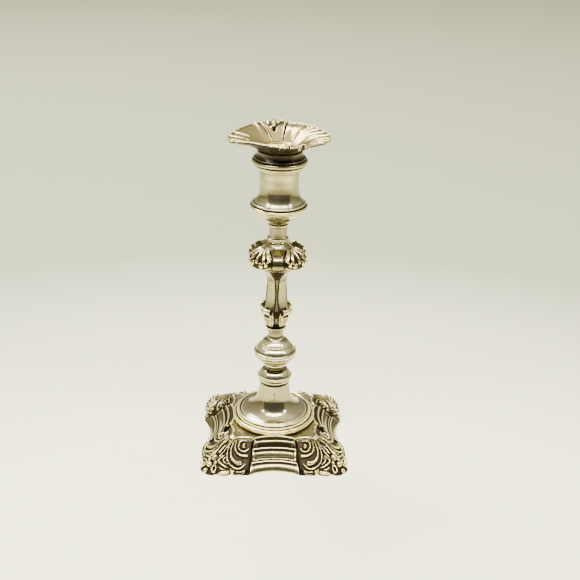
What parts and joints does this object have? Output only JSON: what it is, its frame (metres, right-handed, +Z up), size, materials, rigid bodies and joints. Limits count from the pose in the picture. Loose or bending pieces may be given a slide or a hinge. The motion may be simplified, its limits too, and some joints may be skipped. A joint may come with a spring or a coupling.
{
  "type": "candlestick",
  "caption": "Loaded silver table candlestick on a square shell-cornered base, with knops, vase socket and a loose drip-pan nozzle that lifts out.",
  "frame": {"origin": "on the surface it stands on, under the centre of the square base", "axes": "+Z up the stem, -Y towards the side that faces the viewer, +X to that viewer's right"},
  "size_m": [0.1112, 0.1112, 0.2464],
  "materials": {
    "silver_plain": "gloss",
    "silver_cast": "satin",
    "iron": "matte",
    "pitch": "matte",
    "wood": "matte",
    "baize": "matte"
  },
  "bodies": {
    "stick": {"base_shell": "silver_plain", "base_dome": "silver_plain", "lower_knop": "silver_plain", "knop_ring": "silver_plain", "main_knop": "silver_plain", "stem_collar": "silver_plain", "shaft_half_left": "silver_plain", "shaft_half_right": "silver_plain", "neck_ring": "silver_plain", "neck": "silver_plain", "socket_cup": "silver_plain", "socket_vase": "silver_plain", "socket_rim": "silver_plain", "corner_shell_front_right": "silver_cast", "corner_shell_back_right": "silver_cast", "corner_shell_back_left": "silver_cast", "corner_shell_front_left": "silver_cast", "well_ring": "silver_cast", "scroll_bracket_front_right": "silver_cast", "scroll_bracket_back_right": "silver_cast", "scroll_bracket_back_left": "silver_cast", "scroll_bracket_front_left": "silver_cast", "shell_knop": "silver_cast", "socket_lower_ring": "silver_cast", "socket_upper_ring": "silver_cast", "baize_pad": "baize", "base_board": "wood", "base_fill": "pitch", "stem_fill": "pitch", "tie_rod": "iron", "rod_washer": "iron", "rod_nut": "iron", "top_nut": "iron"},
    "sleeve": {"nozzle_sleeve": "silver_plain"},
    "pan": {"drip_pan": "silver_cast"}
  },
  "joints": [
    {"name": "nozzle_lift", "type": "slide", "parent": "stick", "child": "sleeve", "axis": [0, 0, 1], "range_m": [0, 0.05]},
    {"name": "nozzle_turn", "type": "hinge", "parent": "sleeve", "child": "pan", "pos_m": [0, 0, 0.2356], "axis": [0, 0, 1], "continuous": true}
  ]
}
